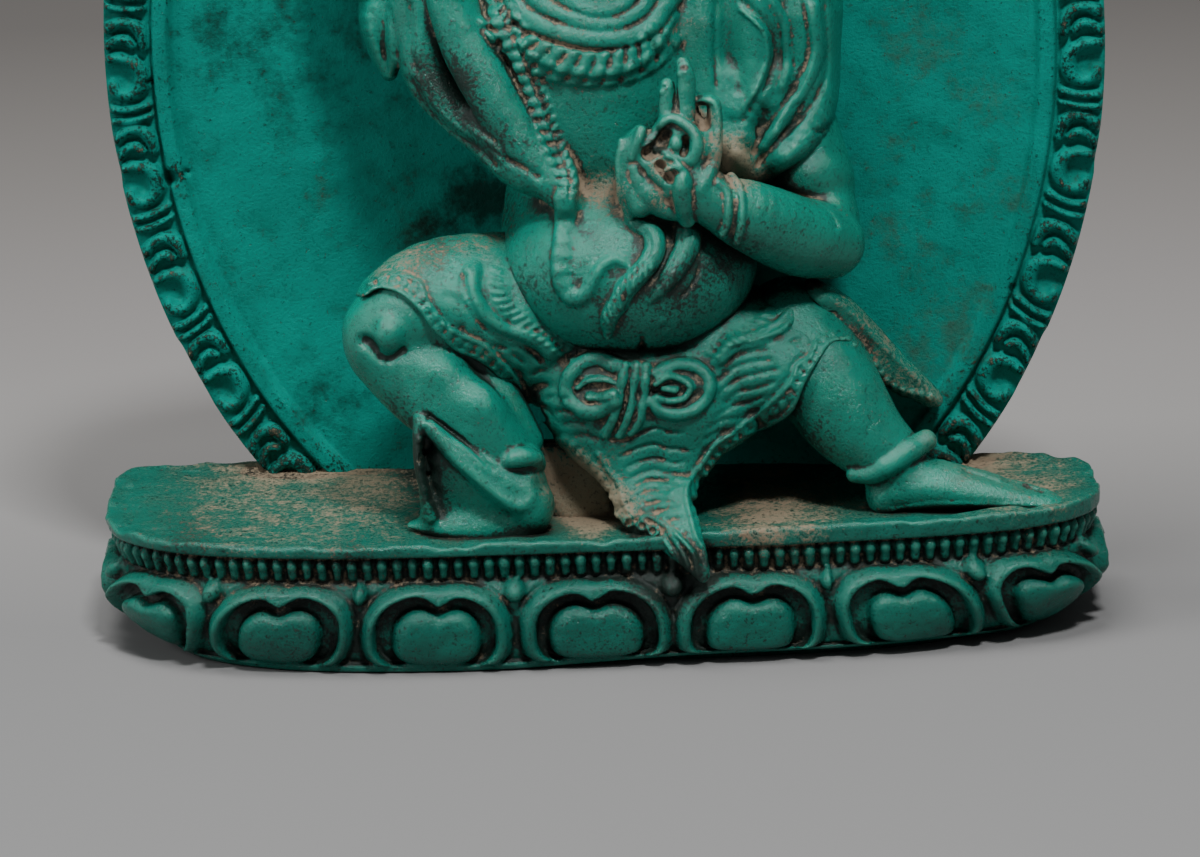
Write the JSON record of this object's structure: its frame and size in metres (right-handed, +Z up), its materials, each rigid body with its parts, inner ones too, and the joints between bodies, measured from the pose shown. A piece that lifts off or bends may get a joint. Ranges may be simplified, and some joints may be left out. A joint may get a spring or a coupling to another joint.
{
  "type": "acala statue",
  "caption": "Small cast altar figure of a wrathful deity with raised sword and noose, one knee bent, on a half-lotus plinth before an upright oval aureole",
  "frame": {"origin": "middle of the overall footprint, on the underside of the plinth", "axes": "+Z up through the figure, -Y the way the figure faces, +X to the viewer's right when facing the figure"},
  "size_m": [0.1058, 0.0384, 0.125],
  "materials": {
    "turquoise_resin": "satin"
  },
  "bodies": {
    "root": {"statue": "turquoise_resin"}
  },
  "joints": []
}
